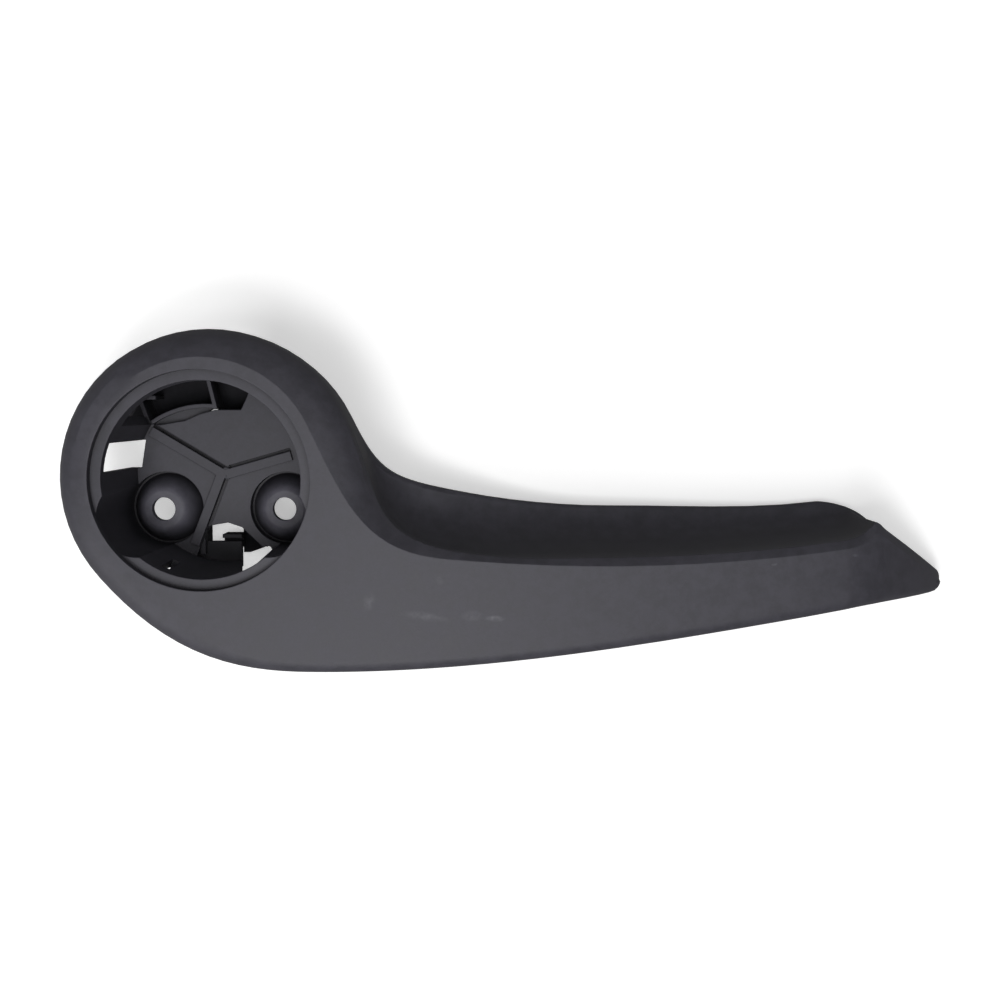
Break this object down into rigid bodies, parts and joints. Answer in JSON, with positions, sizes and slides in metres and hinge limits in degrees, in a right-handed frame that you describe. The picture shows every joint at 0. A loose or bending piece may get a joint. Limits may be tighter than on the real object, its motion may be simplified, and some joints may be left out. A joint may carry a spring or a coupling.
{
  "type": "seat adjustment lever",
  "caption": "One-piece moulded lever for a car seat adjuster: round hub with an open well and cap seat, grip with a finger groove along one side.",
  "frame": {"origin": "on the axis of the hub's round well, in the plane that the back of the lever rests on", "axes": "+Z along the well's axis, out of the front face; +X from the well to the tip of the grip; +Y toward the side with the finger groove"},
  "size_m": [0.2045, 0.0755, 0.036],
  "materials": {
    "lever": "moulded, fine matt grain"
  },
  "bodies": {
    "root": {"lever": "lever"}
  },
  "joints": []
}
